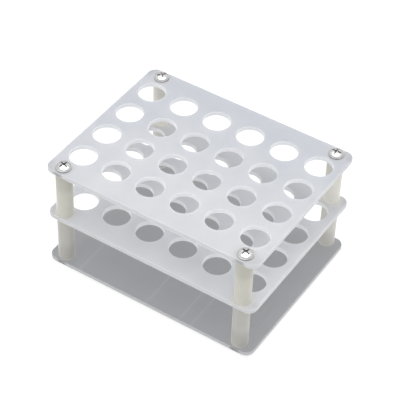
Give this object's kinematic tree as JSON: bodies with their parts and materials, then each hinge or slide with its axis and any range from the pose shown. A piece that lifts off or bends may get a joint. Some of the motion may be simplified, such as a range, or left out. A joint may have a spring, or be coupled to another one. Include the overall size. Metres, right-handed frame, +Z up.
{
  "type": "test tube rack",
  "caption": "Three-tier test tube rack: two drilled frosted plates over a solid base plate, held apart by round posts and clamped by pan-head screws.",
  "frame": {"origin": "on the surface that the rack stands on, under the centre of the plates", "axes": "+X along the rows of six holes, +Y from the front long side to the back, +Z up"},
  "size_m": [0.153, 0.1194, 0.085],
  "materials": {
    "frosted_plate": "frosted, slightly translucent polypropylene sheet with brighter cut edges",
    "nylon_post": "natural nylon, cream, slightly translucent, satin",
    "plated_screw": "bright nickel-plated steel"
  },
  "bodies": {
    "root": {"top_plate": "frosted_plate", "middle_plate": "frosted_plate", "bottom_plate": "frosted_plate", "upper_post_front_left": "nylon_post", "lower_post_front_left": "nylon_post", "top_screw_front_left": "plated_screw", "bottom_screw_front_left": "plated_screw", "upper_post_front_right": "nylon_post", "lower_post_front_right": "nylon_post", "top_screw_front_right": "plated_screw", "bottom_screw_front_right": "plated_screw", "upper_post_rear_left": "nylon_post", "lower_post_rear_left": "nylon_post", "top_screw_rear_left": "plated_screw", "bottom_screw_rear_left": "plated_screw", "upper_post_rear_right": "nylon_post", "lower_post_rear_right": "nylon_post", "top_screw_rear_right": "plated_screw", "bottom_screw_rear_right": "plated_screw"}
  },
  "joints": []
}
